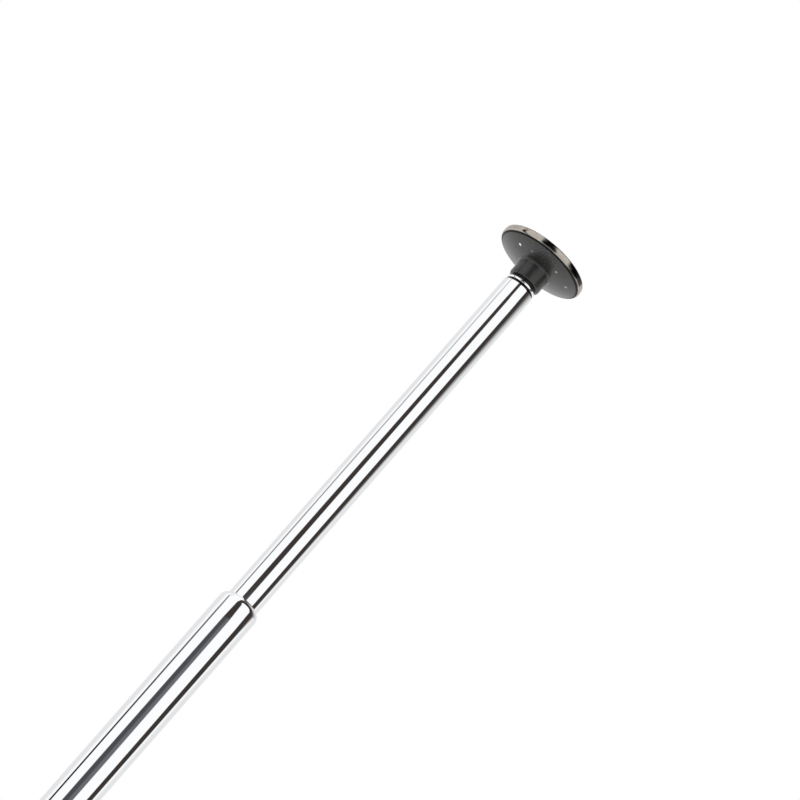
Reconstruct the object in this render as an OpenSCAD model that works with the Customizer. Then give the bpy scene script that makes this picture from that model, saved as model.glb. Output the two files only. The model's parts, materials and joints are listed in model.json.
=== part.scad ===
// Telescopic whip antenna for a handheld radio, on a bayonet coaxial plug.
// Millimetres. The origin is the middle of the coupling nut's front face, and +Z runs up the whip.
// The whip is drawn right out. Tube 0 is the thickest, held in the base, and each next one slides in it.

/* [Whip tubes] */
// Outer diameter of the tip tube
tip_tube_d = 2.8; // [2.6:0.1:3.6]
// Growth in diameter from each tube to the one that holds it
tube_growth = 0.8; // [0.75:0.05:1.2]
// Wall of every drawn tube
tube_wall = 0.2; // [0.15:0.01:0.22]
// Length of the tip tube
tip_tube_l = 36.4; // [25:0.1:60]
// How far each lip stands above the one outside it when the whip is pushed in
lip_stagger = 0.6; // [0.2:0.1:2]
// Radial clearance of a tube in the rolled lip round it
lip_clearance = 0.05; // [0.02:0.01:0.08]
// Outer radius that a lip is rolled to
lip_roll_r = 0.7; // [0.6:0.05:0.9]
// Radius of the bead that finishes the tip tube's end on the cap
end_bead_r = 0.15; // [0.1:0.01:0.2]

/* [Sliding feet] */
// Depth of a foot's spigot in the end of its tube
spigot_l = 1.8; // [1:0.1:4]
// Thickness of the flange that stops under the lip
stop_flange_l = 0.9; // [0.5:0.1:2]
// Length of the neck that carries the contact spring
foot_neck_l = 3.2; // [2:0.1:6]
// Thickness of the lower flange, which guides the foot
guide_flange_l = 0.7; // [0.4:0.1:2]
// Depth of the neck below the flanges
foot_neck_depth = 0.4; // [0.3:0.05:0.5]
// Radial clearance of the flanges in the tube outside
foot_clearance = 0.05; // [0.02:0.01:0.1]
// Chamfer on the edges of turned pieces
turned_chamfer = 0.12; // [0.05:0.01:0.25]
// Gap left at either end of a tube's travel
end_play = 0.08; // [0.02:0.01:0.3]

/* [Contact springs] */
// Thickness of the spring strip
spring_t = 0.1; // [0.08:0.01:0.15]
// Number of long slots round a spring
spring_slots = 7; // [4:1:10]
// Width of a slot
spring_slot_w = 0.28; // [0.15:0.01:0.4]
// Height of the uncut band at either end of a spring
spring_band_l = 0.45; // [0.2:0.05:0.8]
// Opening of the split in the strip, in degrees
spring_split = 24; // [10:1:60]
// Clearance of a spring from the neck inside it, the tube outside it and the flanges
spring_clearance = 0.03; // [0.01:0.01:0.05]

/* [Cap] */
// Diameter of the cap's disc
cap_d = 8; // [5:0.1:12]
// Thickness of the disc
cap_t = 0.65; // [0.4:0.05:2]
// Radius on the disc's upper edge
cap_edge_r = 0.12; // [0.05:0.01:0.2]
// Radius on the disc's lower edge
cap_lower_edge_r = 0.3; // [0.1:0.05:0.4]
// Radius of the disc's domed underside
cap_dome_r = 10; // [9:0.5:30]
// Diameter of the collar under the disc
collar_d = 2.9; // [2.5:0.1:4]
// Length of the collar below the domed underside
collar_l = 1.5; // [1:0.05:4]
// Radius on the collar's lower edge
collar_edge_r = 0.25; // [0.1:0.05:0.4]
// Fillet between the collar and the underside
collar_fillet_r = 0.25; // [0.1:0.05:0.5]
// Diameter of the neck that the tip tube is rolled on to
cap_neck_d = 2.1; // [1.6:0.1:2.1]
// Length of neck that stays open under the collar
cap_neck_l = 0.2; // [0.1:0.05:1]
// Depth of the cap's spigot in the tip tube, below the rolled end
cap_spigot_l = 3; // [1:0.1:6]

/* [Outer contact and pin] */
// Outer diameter of the slotted contact
contact_d = 8.1; // [7.9:0.05:8.2]
// Wall of the slotted contact
contact_wall = 0.5; // [0.3:0.05:0.6]
// Length of the contact in front of the gasket
contact_l = 5.4; // [4:0.1:6]
// Depth of the contact's tip behind the nut's front face
contact_recess = 4.2; // [4.1:0.1:6]
// Number of slots in the contact
contact_slots = 4; // [2:1:6]
// Width of a slot
contact_slot_w = 0.4; // [0.2:0.05:0.6]
// Length of a slot
contact_slot_l = 4.4; // [3:0.1:5]
// Diameter of the centre pin
pin_d = 1.35; // [1:0.05:1.5]
// Depth of the pin's tip behind the contact's tip
pin_recess = 0.3; // [0:0.1:1]
// Diameter of the pin's shank, whose shoulder is flush with the dielectric's face
pin_shank_d = 1.8; // [1.6:0.1:2.2]
// Diameter of the pin's solder cup
pin_cup_d = 3; // [2.6:0.1:3.4]
// Length of the solder cup
pin_cup_l = 1.6; // [1.2:0.1:3]

/* [Connector body] */
// Length of shank inside the housing
shank_l = 7.6; // [4:0.1:12]
// Length of the flange behind the gasket
body_flange_l = 1; // [0.6:0.1:2]
// Wall of the shank
shank_wall = 1.85; // [1.6:0.05:2.1]
// Thickness of the gasket
gasket_t = 1; // [0.6:0.1:1.5]
// Depth of the seat that holds the gasket on the contact
gasket_seat_depth = 0.25; // [0.2:0.05:0.3]
// Depth of the dielectric's face behind the gasket's front
dielectric_setback = 0.3; // [0:0.1:1]
// Thickness of the dielectric's head
dielectric_head_l = 1.5; // [0.8:0.1:2]
// Length of the dielectric behind its head
dielectric_tail_l = 6.2; // [4:0.1:9]

/* [Coupling nut] */
// Radial room for the socket's barrel between the outer contact and the nut's bore
barrel_room = 0.9; // [0.8:0.05:1.1]
// Wall of the slotted front
nut_front_wall = 1.25; // [1:0.05:1.6]
// How far the knurled grip stands out past the front
grip_stand = 1; // [0.6:0.05:2]
// Distance of the knurled grip from the nut's front face
grip_z = 6.9; // [6.5:0.1:8]
// Number of grooves round the grip
knurl_grooves = 28; // [16:4:40]
// Width of a groove
knurl_w = 0.9; // [0.5:0.05:1.1]
// Chamfer on the nut's edges
nut_chamfer = 0.4; // [0.2:0.05:0.6]
// Thickness of the nut's inward flange
nut_flange_l = 1; // [0.6:0.1:1.6]
// How far that flange stands in from the nut's bore
nut_flange_reach = 0.64; // [0.5:0.02:0.8]
// Diameter of the socket's two lugs
lug_d = 2; // [1.8:0.05:2.1]
// How far the tops of the lugs stand out past the nut's bore
lug_stand = 0.6; // [0.5:0.05:0.7]
// Distance of the lugs from the socket's front face
lug_setback = 5.2; // [4.6:0.1:5.4]
// Turn that locks the nut, in degrees
lock_turn = 66; // [50:1:75]
// Distance of the cam's mouth from the nut's front face
cam_entry_z = 1.7; // [1.5:0.1:2.4]
// How far the cam runs past the resting place of the lug
cam_overrun = 0.4; // [0.2:0.05:0.8]
// Clearance of a lug in its slot
lug_clearance = 0.15; // [0.05:0.01:0.3]
// Number of cuts that the cam is milled in
cam_cuts = 18; // [12:1:30]

/* [Nut seat] */
// Radial clearance of the nut on the body's shank and flange
nut_clearance = 0.06; // [0.02:0.01:0.1]
// Free height of the wave washer
wave_h = 1; // [0.6:0.05:1.4]
// Thickness of its strip
wave_t = 0.25; // [0.15:0.01:0.3]
// Number of waves
waves = 3; // [2:1:5]
// Thickness of the thrust washer
thrust_washer_t = 0.3; // [0.2:0.05:0.6]
// Thickness of the retaining ring
ring_t = 0.6; // [0.4:0.05:1]
// Depth of the ring's groove in the shank
ring_groove_depth = 0.5; // [0.3:0.05:0.7]
// How far the ring stands out of its groove
ring_stand = 0.45; // [0.3:0.05:0.5]
// Opening of the ring, in degrees
ring_split = 50; // [20:5:90]
// Axial clearance beside the ring and the wave washer
seat_clearance = 0.03; // [0.01:0.01:0.1]

/* [Base] */
// How far the nut's grip stands out past the moulded housing
nut_grip_stand = 0.2; // [0.1:0.1:0.5]
// Length of the housing's straight part
housing_straight_l = 9; // [6:0.5:14]
// Length of the whole housing
housing_l = 32; // [26:0.5:40]
// Wall of the housing round the whip
housing_top_wall = 1.4; // [1:0.1:2]
// Radius on the housing's two ends
housing_edge_r = 0.8; // [0.4:0.1:1.2]
// Gap between the nut and the housing
housing_gap = 0.4; // [0.2:0.05:1]
// Thickness of the insulating bush above the shank
bush_l = 3.5; // [2:0.1:6]
// How far the whip plug's flange stands out past the base tube
plug_flange_stand = 0.6; // [0.3:0.1:0.9]
// Thickness of that flange
plug_flange_l = 1.5; // [1:0.1:3]
// Diameter of the tail that is soldered in the pin's cup
plug_tail_d = 1.2; // [0.8:0.1:1.6]
// Length of that tail
plug_tail_l = 1.3; // [0.8:0.1:1.5]

/* [Hidden] */
$fn = 96;

// Extra length of a cutter past the face that it opens
PAST = 1;
// Straight steps in an arc of a turned profile
ARC_STEPS = 8;
CHROME = [0.86, 0.87, 0.88];
BLACK_NICKEL = [0.2, 0.2, 0.21];
NICKEL = [0.72, 0.71, 0.68];
BRASS = [0.8, 0.65, 0.32];
GOLD = [0.92, 0.76, 0.35];
BRONZE = [0.72, 0.48, 0.28];
STEEL = [0.55, 0.56, 0.58];
BLACK_PLASTIC = [0.07, 0.07, 0.075];
WHITE_PLASTIC = [0.93, 0.92, 0.88];
RED_RUBBER = [0.55, 0.16, 0.12];

// Places of the tubes in the whip
BASE = 0;
LOWER = BASE + 1;
MIDDLE = LOWER + 1;
UPPER = MIDDLE + 1;
TIP = UPPER + 1;

function tube_d(i) = tip_tube_d + (TIP - i) * tube_growth;
function tube_bore_d(i) = tube_d(i) - 2 * tube_wall;
function mouth_d(i) = i == TIP ? cap_neck_d : tube_d(i + 1) + 2 * lip_clearance;
// Outer radius of the roll that turns the wall in to the mouth
function roll_r(i) = i == TIP ? (tube_d(i) - mouth_d(i)) / 2 : lip_roll_r;
// Distance of the roll's centre from the axis
function roll_x(i) = tube_d(i) / 2 - roll_r(i);
// Height of the roll from its start to the mouth's edge
function roll_h(i) = sqrt(pow(roll_r(i), 2) - pow(mouth_d(i) / 2 - roll_x(i), 2));
// Height above the roll's start at which the lip's inner face stops the edge of a foot's flange
function stop_h(i) = sqrt(pow(roll_r(i) - tube_wall, 2) - pow(tube_bore_d(i) / 2 - foot_clearance
    - roll_x(i), 2)) + turned_chamfer;
foot_l = stop_flange_l + foot_neck_l + guide_flange_l;
function tube_l(i) = tip_tube_l + (TIP - i) * (spigot_l + foot_l + end_play - lip_stagger);
// Height of a tube's lower end with the whip drawn out, where its foot stops under the lip outside
function tube_z(i) = i == BASE ? base_tube_z
    : tube_z(i - 1) + tube_l(i - 1) - roll_h(i - 1) + stop_h(i - 1) - end_play;
function foot_flange_r(i) = tube_bore_d(i - 1) / 2 - foot_clearance;
function foot_neck_r(i) = foot_flange_r(i) - foot_neck_depth;

// Heights up the connector, from the nut's front face
gasket_z = contact_recess + contact_l;
body_flange_z = gasket_z + gasket_t;
wave_z = body_flange_z + body_flange_l;
thrust_washer_z = wave_z + wave_h;
nut_flange_z = thrust_washer_z + thrust_washer_t;
nut_l = nut_flange_z + nut_flange_l;
ring_z = nut_l + seat_clearance;
housing_z = nut_l + housing_gap;
shank_end_z = housing_z + shank_l;
dielectric_z = gasket_z + dielectric_setback;
dielectric_tail_z = dielectric_z + dielectric_head_l;
pin_cup_z = dielectric_tail_z + dielectric_tail_l;
plug_stud_z = pin_cup_z + pin_cup_l;
plug_flange_z = shank_end_z + bush_l;
base_tube_z = plug_flange_z + plug_flange_l;
housing_end_z = housing_z + housing_l;
tip_end_z = tube_z(TIP) + tube_l(TIP);

contact_bore_d = contact_d - 2 * contact_wall;
gasket_seat_d = contact_d - 2 * gasket_seat_depth;
nut_bore_d = contact_d + 2 * barrel_room;
nut_front_d = nut_bore_d + 2 * nut_front_wall;
nut_grip_d = nut_front_d + 2 * grip_stand;
nut_flange_bore_d = nut_bore_d - 2 * nut_flange_reach;
body_flange_d = nut_bore_d - 2 * nut_clearance;
shank_d = nut_flange_bore_d - 2 * nut_clearance;
shank_bore_d = shank_d - 2 * shank_wall;
housing_d = nut_grip_d - 2 * nut_grip_stand;
ring_groove_d = shank_d - 2 * ring_groove_depth;
ring_d = shank_d + 2 * ring_stand;
ring_pocket_d = ring_d + 2 * nut_clearance;
plug_flange_d = tube_d(BASE) + 2 * plug_flange_stand;
housing_top_d = tube_d(BASE) + 2 * housing_top_wall;

// Points on an arc about a centre, between two directions
function arc(centre, r, start, end) = [for (k = [0:ARC_STEPS])
    centre + r * [cos(start + (end - start) * k / ARC_STEPS),
        sin(start + (end - start) * k / ARC_STEPS)]];

// A cylinder of diameter d between two heights
module round_bar(d, low, high) {
    translate([0, 0, low]) cylinder(d = d, h = high - low);
}

// A turned length with both ends chamfered
module chamfered_bar(d, low, high, chamfer) {
    r = d / 2;
    rotate_extrude() polygon([[0, low], [r - chamfer, low], [r, low + chamfer],
        [r, high - chamfer], [r - chamfer, high], [0, high]]);
}

// A drawn tube, open below, whose upper end is rolled in to the mouth at an even wall
module drawn_tube(i) {
    mouth_r = mouth_d(i) / 2;
    bead_z = tube_l(i) - 2 * end_bead_r;
    roll_z = i == TIP ? bead_z + tube_wall / 4 - roll_h(i) : tube_l(i) - roll_h(i);
    translate([0, 0, tube_z(i)]) rotate_extrude() {
        translate([tube_bore_d(i) / 2, 0]) square([tube_wall, roll_z]);
        translate([roll_x(i), roll_z]) intersection() {
            difference() {
                circle(r = roll_r(i));
                circle(r = roll_r(i) - tube_wall);
            }
            translate([mouth_r - roll_x(i), 0]) square(roll_r(i) + PAST);
        }
        if (i == TIP) translate([mouth_r, bead_z]) {
            square([end_bead_r, 2 * end_bead_r]);
            translate([end_bead_r, end_bead_r]) circle(r = end_bead_r);
        }
    }
}

// The turned foot pressed into a tube's lower end: spigot, stop flange, spring neck and guide flange
module turned_foot(i) {
    flange_r = foot_flange_r(i);
    translate([0, 0, tube_z(i)]) {
        chamfered_bar(tube_bore_d(i), -stop_flange_l / 2, spigot_l, turned_chamfer);
        chamfered_bar(2 * flange_r, -stop_flange_l, 0, turned_chamfer);
        round_bar(2 * foot_neck_r(i), -foot_l + guide_flange_l / 2, -stop_flange_l / 2);
        chamfered_bar(2 * flange_r, -foot_l, -foot_l + guide_flange_l, turned_chamfer);
    }
}

// The split, slotted and bowed strip round a foot's neck, which rubs in the tube outside
module contact_spring(i) {
    height = foot_neck_l - 2 * spring_clearance;
    bow_r = tube_bore_d(i - 1) / 2 - spring_clearance;
    end_r = foot_neck_r(i) + spring_clearance + spring_t;
    bow = bow_r - end_r;
    arc_r = bow / 2 + height * height / (8 * bow);
    slot_l = height - 2 * spring_band_l;
    translate([0, 0, tube_z(i) - stop_flange_l - foot_neck_l / 2]) difference() {
        rotate([0, 0, spring_split / 2]) rotate_extrude(angle = 360 - spring_split)
            intersection() {
                translate([bow_r - arc_r, 0]) difference() {
                    circle(r = arc_r);
                    circle(r = arc_r - spring_t);
                }
                translate([0, -height / 2]) square([bow_r + PAST, height]);
            }
        for (n = [1:spring_slots])
            rotate([0, 0, n * 360 / (spring_slots + 1)])
                translate([0, -spring_slot_w / 2, -slot_l / 2])
                    cube([bow_r + PAST, spring_slot_w, slot_l]);
    }
}

// The cap: a disc with a domed underside on a collar, and a spigot that the tube is rolled on to
module tip_cap() {
    r = cap_d / 2;
    bore_r = tube_bore_d(TIP) / 2;
    neck_r = cap_neck_d / 2;
    collar_r = collar_d / 2;
    spigot_z = tip_end_z - 2 * end_bead_r + tube_wall / 4 - roll_h(TIP);
    collar_z = tip_end_z + cap_neck_l;
    // Middle and span of the dome, which ends where the lower edge's radius takes over
    lower_x = r - cap_lower_edge_r;
    dome_z = collar_z + collar_l + sqrt(pow(cap_dome_r, 2) - pow(collar_r, 2));
    lower_z = dome_z - sqrt(pow(cap_dome_r - cap_lower_edge_r, 2) - pow(lower_x, 2));
    dome_turn = asin(lower_x / (cap_dome_r - cap_lower_edge_r));
    fillet_x = collar_r + collar_fillet_r;
    fillet_z = dome_z - sqrt(pow(cap_dome_r + collar_fillet_r, 2) - pow(fillet_x, 2));
    fillet_turn = asin(fillet_x / (cap_dome_r + collar_fillet_r));
    top_z = lower_z - cap_lower_edge_r + cap_t;
    color(BLACK_NICKEL) rotate_extrude() polygon(concat(
        [[0, spigot_z - cap_spigot_l], [bore_r - turned_chamfer, spigot_z - cap_spigot_l],
            [bore_r, spigot_z - cap_spigot_l + turned_chamfer], [bore_r, spigot_z - turned_chamfer],
            [bore_r - turned_chamfer, spigot_z], [neck_r, spigot_z], [neck_r, collar_z]],
        arc([collar_r - collar_edge_r, collar_z + collar_edge_r], collar_edge_r, -90, 0),
        arc([fillet_x, fillet_z], collar_fillet_r, 180, 90 + fillet_turn),
        arc([0, dome_z], cap_dome_r, fillet_turn - 90, dome_turn - 90),
        arc([lower_x, lower_z], cap_lower_edge_r, dome_turn - 90, 0),
        arc([r - cap_edge_r, top_z - cap_edge_r], cap_edge_r, 0, 90), [[0, top_z]]));
}

module tip_tube() { color(CHROME) drawn_tube(TIP); }
module tip_foot() { color(BRASS) turned_foot(TIP); }
module tip_contact_spring() { color(BRONZE) contact_spring(TIP); }
module upper_tube() { color(CHROME) drawn_tube(UPPER); }
module upper_foot() { color(BRASS) turned_foot(UPPER); }
module upper_contact_spring() { color(BRONZE) contact_spring(UPPER); }
module middle_tube() { color(CHROME) drawn_tube(MIDDLE); }
module middle_foot() { color(BRASS) turned_foot(MIDDLE); }
module middle_contact_spring() { color(BRONZE) contact_spring(MIDDLE); }
module lower_tube() { color(CHROME) drawn_tube(LOWER); }
module lower_foot() { color(BRASS) turned_foot(LOWER); }
module lower_contact_spring() { color(BRONZE) contact_spring(LOWER); }
module base_tube() { color(CHROME) drawn_tube(BASE); }

// The plug that closes the base tube: spigot, flange, stud and the tail soldered to the pin
module whip_plug() {
    color(BRASS) {
        chamfered_bar(tube_bore_d(BASE), base_tube_z - plug_flange_l / 2, base_tube_z + spigot_l,
            turned_chamfer);
        chamfered_bar(plug_flange_d, plug_flange_z, base_tube_z, turned_chamfer);
        round_bar(pin_cup_d, plug_stud_z, plug_flange_z + plug_flange_l / 2);
        round_bar(plug_tail_d, plug_stud_z - plug_tail_l, plug_stud_z + turned_chamfer);
    }
}

// The moulded housing: straight, then tapered to the whip, bored in steps from below
module base_housing() {
    r = housing_d / 2;
    top_r = housing_top_d / 2;
    edge = housing_edge_r;
    straight_z = housing_z + housing_straight_l;
    color(BLACK_PLASTIC) difference() {
        rotate_extrude() {
            polygon([[0, housing_z], [r - edge, housing_z], [r - edge, housing_z + edge],
                [r, housing_z + edge], [r, straight_z], [top_r, housing_end_z - edge],
                [top_r - edge, housing_end_z - edge], [top_r - edge, housing_end_z],
                [0, housing_end_z]]);
            translate([r - edge, housing_z + edge]) circle(r = edge);
            translate([top_r - edge, housing_end_z - edge]) circle(r = edge);
        }
        round_bar(ring_pocket_d, housing_z - PAST, ring_z + ring_t + seat_clearance);
        round_bar(shank_d, housing_z, plug_flange_z);
        round_bar(plug_flange_d, plug_flange_z, base_tube_z);
        round_bar(tube_d(BASE), base_tube_z, housing_end_z + PAST);
    }
}

// The bush that keeps the whip's stud clear of the connector body
module insulating_bush() {
    color(WHITE_PLASTIC) difference() {
        union() {
            round_bar(shank_bore_d, pin_cup_z, shank_end_z + bush_l / 2);
            round_bar(shank_d, shank_end_z, plug_flange_z);
        }
        round_bar(pin_cup_d, pin_cup_z - PAST, plug_flange_z + PAST);
    }
}

// The turned body: slotted contact in front, flange for the gasket, grooved shank behind
module connector_body() {
    r = contact_d / 2;
    color(NICKEL) difference() {
        union() {
            rotate_extrude() polygon([[0, contact_recess], [r - turned_chamfer, contact_recess],
                [r, contact_recess + turned_chamfer], [r, gasket_z], [0, gasket_z]]);
            round_bar(gasket_seat_d, contact_recess + turned_chamfer, wave_z);
            chamfered_bar(body_flange_d, body_flange_z, wave_z, turned_chamfer);
            chamfered_bar(shank_d, wave_z - body_flange_l / 2, shank_end_z, turned_chamfer);
        }
        round_bar(contact_bore_d, contact_recess - PAST, dielectric_tail_z);
        round_bar(shank_bore_d, contact_recess, shank_end_z + PAST);
        for (n = [1:contact_slots])
            rotate([0, 0, (n + 0.5) * 360 / contact_slots])
                translate([contact_bore_d / 4, -contact_slot_w / 2, contact_recess - PAST])
                    cube([contact_d / 2, contact_slot_w, contact_slot_l + PAST]);
        difference() {
            round_bar(shank_d + PAST, ring_z - seat_clearance / 2,
                ring_z + ring_t + seat_clearance / 2);
            round_bar(ring_groove_d, ring_z - PAST, ring_z + ring_t + PAST);
        }
    }
}

// The white insulator between the body and the pin
module dielectric() {
    color(WHITE_PLASTIC) difference() {
        union() {
            round_bar(contact_bore_d, dielectric_z, dielectric_tail_z);
            round_bar(shank_bore_d, dielectric_z, pin_cup_z);
        }
        round_bar(pin_shank_d, dielectric_z - PAST, pin_cup_z + PAST);
    }
}

// The centre pin: round-nosed in front, with a shouldered shank and a solder cup behind
module centre_pin() {
    nose_r = pin_d / 2;
    nose_z = contact_recess + pin_recess + nose_r;
    color(GOLD) difference() {
        union() {
            translate([0, 0, nose_z]) sphere(r = nose_r);
            round_bar(pin_d, nose_z, dielectric_z + nose_r);
            round_bar(pin_shank_d, dielectric_z, pin_cup_z + nose_r);
            round_bar(pin_cup_d, pin_cup_z, plug_stud_z);
        }
        round_bar(plug_tail_d, plug_stud_z - plug_tail_l, plug_stud_z + PAST);
    }
}

// The ring that seals against the front of the radio's socket
module gasket() {
    color(RED_RUBBER) difference() {
        round_bar(body_flange_d - 2 * nut_clearance, gasket_z, body_flange_z);
        round_bar(gasket_seat_d, gasket_z - PAST, body_flange_z + PAST);
    }
}

// The open ring in the shank's groove, which the nut's flange bears back on
module retaining_ring() {
    color(STEEL) rotate([0, 0, ring_split / 2]) rotate_extrude(angle = 360 - ring_split)
        translate([ring_groove_d / 2, ring_z]) square([(ring_d - ring_groove_d) / 2, ring_t]);
}

// The waved strip that pushes the nut back: its middle height follows a cosine round the ring
module wave_washer() {
    steps = 16 * waves;
    inner_r = shank_d / 2 + 2 * nut_clearance;
    outer_r = body_flange_d / 2 - nut_clearance;
    swing = (wave_h - wave_t) / 2 - seat_clearance;
    corners = [[inner_r, -wave_t / 2], [outer_r, -wave_t / 2], [outer_r, wave_t / 2],
        [inner_r, wave_t / 2]];
    points = [for (s = [0:steps - 1], c = corners)
        [c[0] * cos(s * 360 / steps), c[0] * sin(s * 360 / steps),
            wave_z + wave_h / 2 + swing * cos(s * 360 * waves / steps) + c[1]]];
    faces = [for (s = [0:steps - 1], k = [0:3])
        let (next = (s + 1) % steps, up = (k + 1) % 4)
            [4 * s + k, 4 * s + up, 4 * next + up, 4 * next + k]];
    color(BRONZE) polyhedron(points, faces, convexity = 4);
}

// The flat washer that the nut turns on
module thrust_washer() {
    color(STEEL) difference() {
        round_bar(body_flange_d, thrust_washer_z, nut_flange_z);
        round_bar(nut_flange_bore_d, thrust_washer_z - PAST, nut_flange_z + PAST);
    }
}

// A hole of the lug's width drilled through the nut's wall at one turn and height
module lug_hole(turn, height) {
    rotate([0, 0, turn]) translate([nut_bore_d / 2 - PAST, 0, height]) rotate([0, 90, 0])
        cylinder(d = lug_d + 2 * lug_clearance, h = nut_grip_d / 2);
}

// One bayonet track: keyway from the front, rising cam, and the round seat that holds the lug
module bayonet_track() {
    seat_z = gasket_z - lug_setback;
    rise = seat_z + cam_overrun - cam_entry_z;
    keyway_w = lug_d + 3 * lug_clearance;
    translate([0, -keyway_w / 2, -PAST])
        cube([nut_bore_d / 2 + lug_stand + lug_clearance, keyway_w, cam_entry_z + PAST]);
    for (n = [0:cam_cuts])
        lug_hole(lock_turn * n / cam_cuts, cam_entry_z + rise * n / cam_cuts);
    lug_hole(lock_turn, seat_z);
}

// The bayonet nut: slotted front, knurled grip, and the inward flange that bears on the washers
module coupling_nut() {
    front_r = nut_front_d / 2;
    grip_r = nut_grip_d / 2;
    groove_turn = 360 / knurl_grooves;
    color(NICKEL) difference() {
        rotate_extrude() polygon([[0, 0], [front_r - nut_chamfer, 0], [front_r, nut_chamfer],
            [front_r, grip_z], [grip_r - nut_chamfer, grip_z], [grip_r, grip_z + nut_chamfer],
            [grip_r, nut_l - nut_chamfer], [grip_r - nut_chamfer, nut_l], [0, nut_l]]);
        round_bar(nut_bore_d, -PAST, nut_flange_z);
        round_bar(nut_flange_bore_d, nut_flange_z - PAST, nut_l + PAST);
        for (n = [1:knurl_grooves])
            rotate([0, 0, (n + 0.5) * groove_turn])
                translate([grip_r, 0, grip_z - PAST])
                    rotate([0, 0, 45])
                        translate([-knurl_w / 2, -knurl_w / 2, 0])
                            cube([knurl_w, knurl_w, nut_l]);
        for (side = [0, 180]) rotate([0, 0, side]) bayonet_track();
    }
}

tip_cap();
tip_tube();
tip_foot();
tip_contact_spring();
upper_tube();
upper_foot();
upper_contact_spring();
middle_tube();
middle_foot();
middle_contact_spring();
lower_tube();
lower_foot();
lower_contact_spring();
base_tube();
whip_plug();
base_housing();
insulating_bush();
connector_body();
dielectric();
centre_pin();
gasket();
retaining_ring();
wave_washer();
thrust_washer();
coupling_nut();
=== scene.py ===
"""Looks of a telescopic whip antenna with a bayonet plug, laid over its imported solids.

Lengths are in metres and turns in degrees unless a name says otherwise. The whip stands on +Z.
"""
import json
import math

import bmesh
import bpy
import numpy as np
from mathutils import Matrix, Vector


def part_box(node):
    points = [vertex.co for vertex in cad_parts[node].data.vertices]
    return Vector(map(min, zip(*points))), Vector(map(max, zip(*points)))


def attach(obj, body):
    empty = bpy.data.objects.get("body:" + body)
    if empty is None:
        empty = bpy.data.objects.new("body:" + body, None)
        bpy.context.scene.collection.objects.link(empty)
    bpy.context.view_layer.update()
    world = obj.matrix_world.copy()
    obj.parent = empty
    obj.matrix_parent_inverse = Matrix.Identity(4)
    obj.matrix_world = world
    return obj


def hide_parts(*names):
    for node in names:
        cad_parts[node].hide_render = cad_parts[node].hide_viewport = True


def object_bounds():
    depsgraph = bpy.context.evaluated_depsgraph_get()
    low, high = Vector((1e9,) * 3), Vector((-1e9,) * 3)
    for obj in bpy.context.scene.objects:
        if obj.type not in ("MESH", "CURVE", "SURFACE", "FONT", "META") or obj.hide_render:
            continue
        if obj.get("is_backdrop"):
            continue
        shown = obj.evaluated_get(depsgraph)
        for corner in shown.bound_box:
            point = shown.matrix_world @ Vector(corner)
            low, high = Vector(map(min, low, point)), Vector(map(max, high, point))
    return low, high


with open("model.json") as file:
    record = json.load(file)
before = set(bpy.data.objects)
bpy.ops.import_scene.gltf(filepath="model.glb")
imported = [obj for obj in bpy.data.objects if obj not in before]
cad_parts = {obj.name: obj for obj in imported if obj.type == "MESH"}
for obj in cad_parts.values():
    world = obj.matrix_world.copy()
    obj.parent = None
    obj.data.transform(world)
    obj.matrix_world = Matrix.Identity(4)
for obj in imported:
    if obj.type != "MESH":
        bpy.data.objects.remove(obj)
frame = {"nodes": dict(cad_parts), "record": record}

bl_info = {
    "name": "Telescopic antenna finish",
    "version": (1, 0, 0),
    "blender": (4, 5, 0),
    "location": "View3D > Sidebar > Antenna",
    "description": "Plated tubes, cap, moulded base and bayonet plug of a telescopic antenna",
    "category": "Object",
}

MM = 0.001
IMAGE_PX = 800
SENSOR_MM = 36.0
TUBES = ("base_tube", "lower_tube", "middle_tube", "upper_tube", "tip_tube")
TUBE_BODIES = ("base", "lower_section", "middle_section", "upper_section", "tip_section")
SEGMENTS = 192
CAP_SEGMENTS = 256
ARC_STEPS = 10
LONG_ARC_STEPS = 16
TUBE_ROWS = 24
ON_AXIS = 1e-9
MERGED_WITHIN = 1e-7
SPIGOT_CHAMFER = 0.12 * MM
SPIGOT_NOSE = 0.9
SPIGOT_FIT = 0.999
CLIP = (0.01, 20.0)
FLOOR_HALF = 3.0
FLOOR_FADE = (0.12, 0.36)
# Rises in degrees over which the tubes show the surround, and the rise that its edges are given at
SHOWN_RISES = (17.0, 22.2)
EDGE_RISE = 19.5
WHITE = (1.0, 1.0, 1.0)
STRIP_DARK = (0.043, 0.036, 0.033)
STRIP_LOW = (0.068, 0.07, 0.075)
STRIP_GRAPHITE = (0.14, 0.145, 0.16)


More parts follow.
